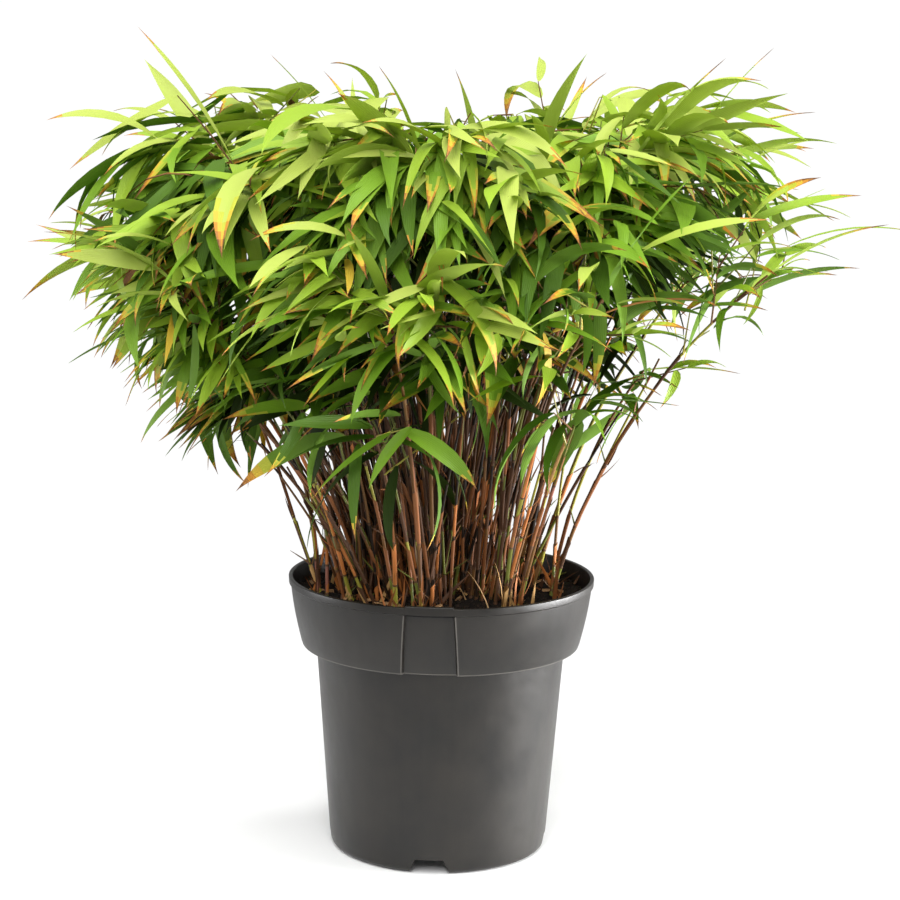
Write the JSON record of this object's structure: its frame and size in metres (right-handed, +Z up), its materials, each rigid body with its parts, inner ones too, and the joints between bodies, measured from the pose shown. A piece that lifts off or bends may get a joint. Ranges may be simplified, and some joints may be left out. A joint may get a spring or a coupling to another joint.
{
  "type": "potted bamboo",
  "caption": "Dense clump of slender bamboo culms under a wide crown of narrow pointed leaves, rooted in the soil of a round tapering nursery pot with a deep stepped-out collar.",
  "frame": {"origin": "centre of the pot's underside, on the surface that the pot stands on", "axes": "+Z up along the pot's axis; -Y is the side of the collar's label panel; +X is to the right when that panel is seen from in front"},
  "size_m": [0.4884, 0.4783, 0.4681],
  "materials": {
    "pot_plastic": "moulded dark grey plastic with a dull satin sheen",
    "potting_soil": "moist dark peat compost with small wood chips",
    "culm_bark": "thin orange-brown canes with dry sheaths and darker node rings",
    "leaf_green": "thin green leaf blades with a soft sheen, some with tan tips"
  },
  "bodies": {
    "root": {"pot": "pot_plastic", "soil": "potting_soil", "culm_centre_1": "culm_bark", "culm_heart_1": "culm_bark", "culm_heart_2": "culm_bark", "culm_heart_3": "culm_bark", "culm_heart_4": "culm_bark", "culm_core_1": "culm_bark", "culm_core_2": "culm_bark", "culm_core_3": "culm_bark", "culm_shoulder_1": "culm_bark", "culm_shoulder_2": "culm_bark", "culm_shoulder_3": "culm_bark", "culm_shoulder_4": "culm_bark", "culm_shoulder_5": "culm_bark", "culm_shoulder_6": "culm_bark", "culm_shoulder_7": "culm_bark", "culm_brim_1": "culm_bark", "culm_brim_2": "culm_bark", "culm_brim_3": "culm_bark", "culm_brim_4": "culm_bark", "culm_brim_5": "culm_bark", "culm_brim_6": "culm_bark", "culm_brim_7": "culm_bark", "culm_brim_8": "culm_bark", "culm_skirt_1": "culm_bark", "culm_skirt_2": "culm_bark", "culm_skirt_3": "culm_bark", "culm_skirt_4": "culm_bark", "culm_skirt_5": "culm_bark", "culm_skirt_6": "culm_bark", "foliage_centre_1": "leaf_green", "foliage_heart_1": "leaf_green", "foliage_heart_2": "leaf_green", "foliage_heart_3": "leaf_green", "foliage_heart_4": "leaf_green", "foliage_core_1": "leaf_green", "foliage_core_2": "leaf_green", "foliage_core_3": "leaf_green", "foliage_shoulder_1": "leaf_green", "foliage_shoulder_2": "leaf_green", "foliage_shoulder_3": "leaf_green", "foliage_shoulder_4": "leaf_green", "foliage_shoulder_5": "leaf_green", "foliage_shoulder_6": "leaf_green", "foliage_shoulder_7": "leaf_green", "foliage_brim_1": "leaf_green", "foliage_brim_2": "leaf_green", "foliage_brim_3": "leaf_green", "foliage_brim_4": "leaf_green", "foliage_brim_5": "leaf_green", "foliage_brim_6": "leaf_green", "foliage_brim_7": "leaf_green", "foliage_brim_8": "leaf_green", "foliage_skirt_1": "leaf_green", "foliage_skirt_2": "leaf_green", "foliage_skirt_3": "leaf_green", "foliage_skirt_4": "leaf_green", "foliage_skirt_5": "leaf_green", "foliage_skirt_6": "leaf_green"}
  },
  "joints": []
}
